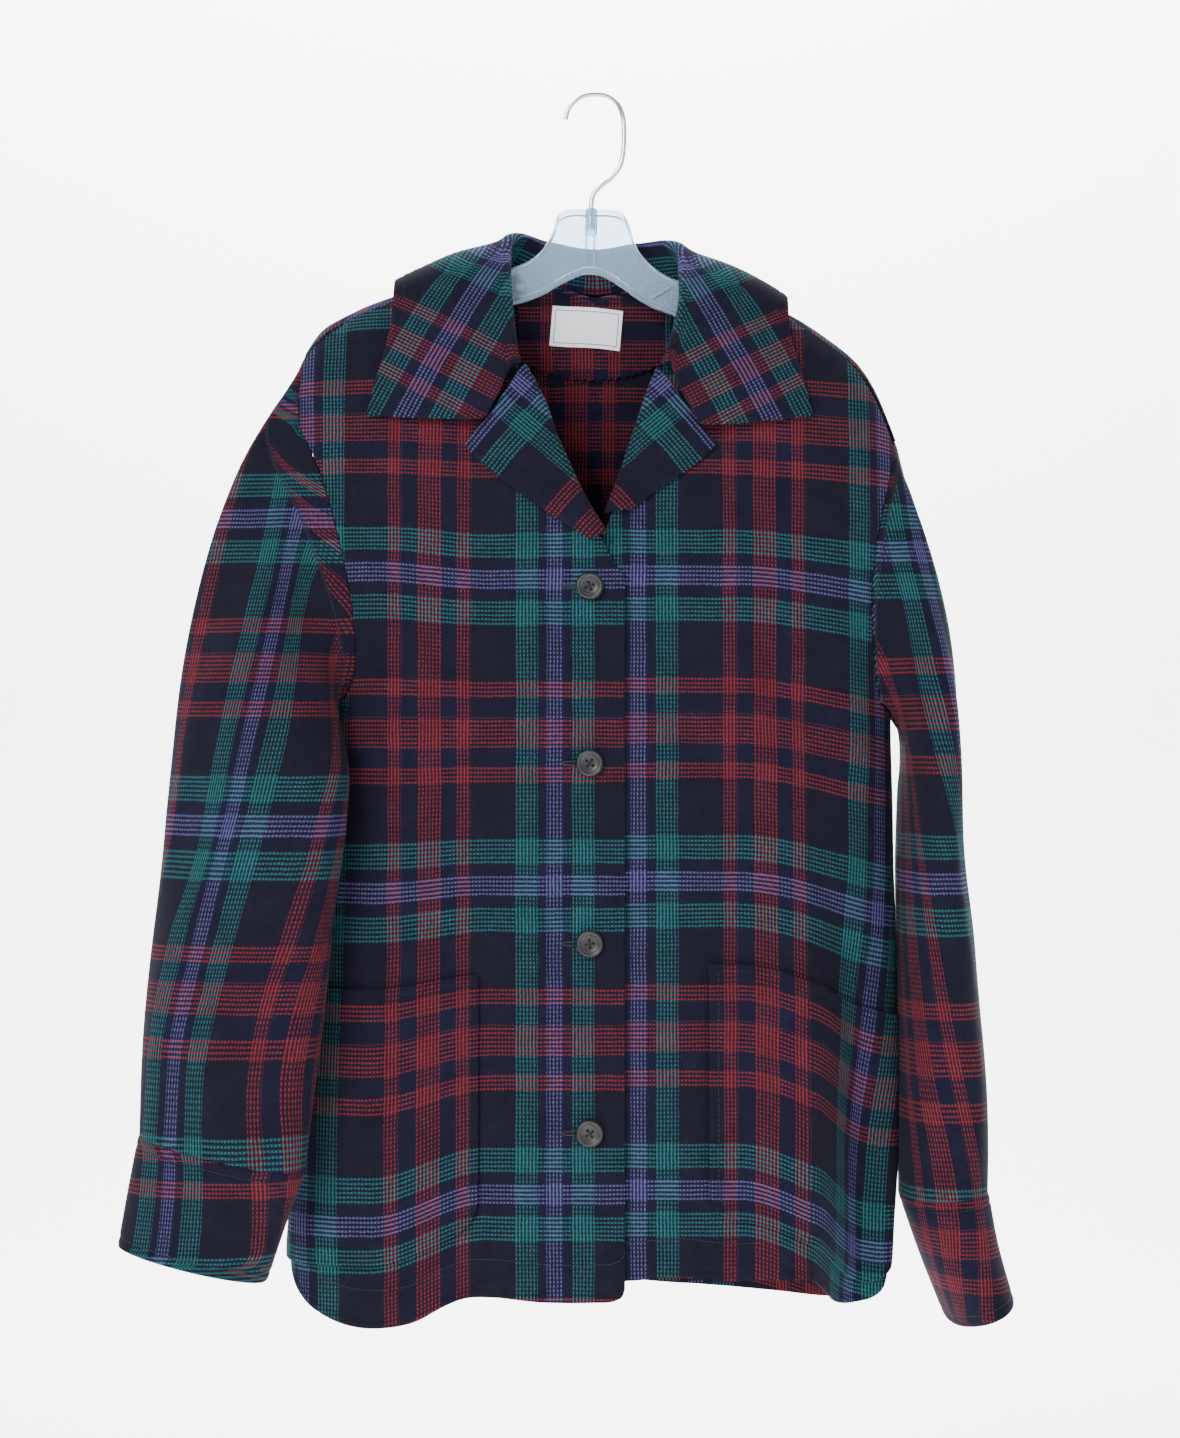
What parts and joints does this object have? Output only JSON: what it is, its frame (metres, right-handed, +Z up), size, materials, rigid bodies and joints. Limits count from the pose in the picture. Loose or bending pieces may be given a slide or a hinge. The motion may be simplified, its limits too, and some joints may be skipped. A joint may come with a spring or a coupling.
{
  "type": "plaid wool shirt jacket on a hanger",
  "caption": "Plaid wool shirt jacket with a notched collar, patch pockets and buttons, hanging on a clear hanger with a wire hook.",
  "frame": {"origin": "inside top of the hook, where a rod bears", "axes": "+Z up, -Y out of the jacket's front, +X to the viewer's right (the wearer's left)"},
  "size_m": [0.6099, 0.1795, 0.8585],
  "materials": {
    "wool": "brushed plaid wool",
    "label": "satin weave",
    "button": "satin",
    "plastic": "clear, faint blue",
    "steel": "bright"
  },
  "bodies": {
    "root": {"front_right": "wool", "front_left": "wool", "back": "wool", "facing_right": "wool", "facing_left": "wool", "collar": "wool", "sleeve_right": "wool", "sleeve_left": "wool", "cuff_right": "wool", "cuff_left": "wool", "pocket_right": "wool", "pocket_left": "wool", "back_facing": "wool", "label": "label", "button_1": "button", "button_2": "button", "button_3": "button", "button_4": "button", "hanger_body": "plastic", "hanger_hook": "steel"}
  },
  "joints": []
}
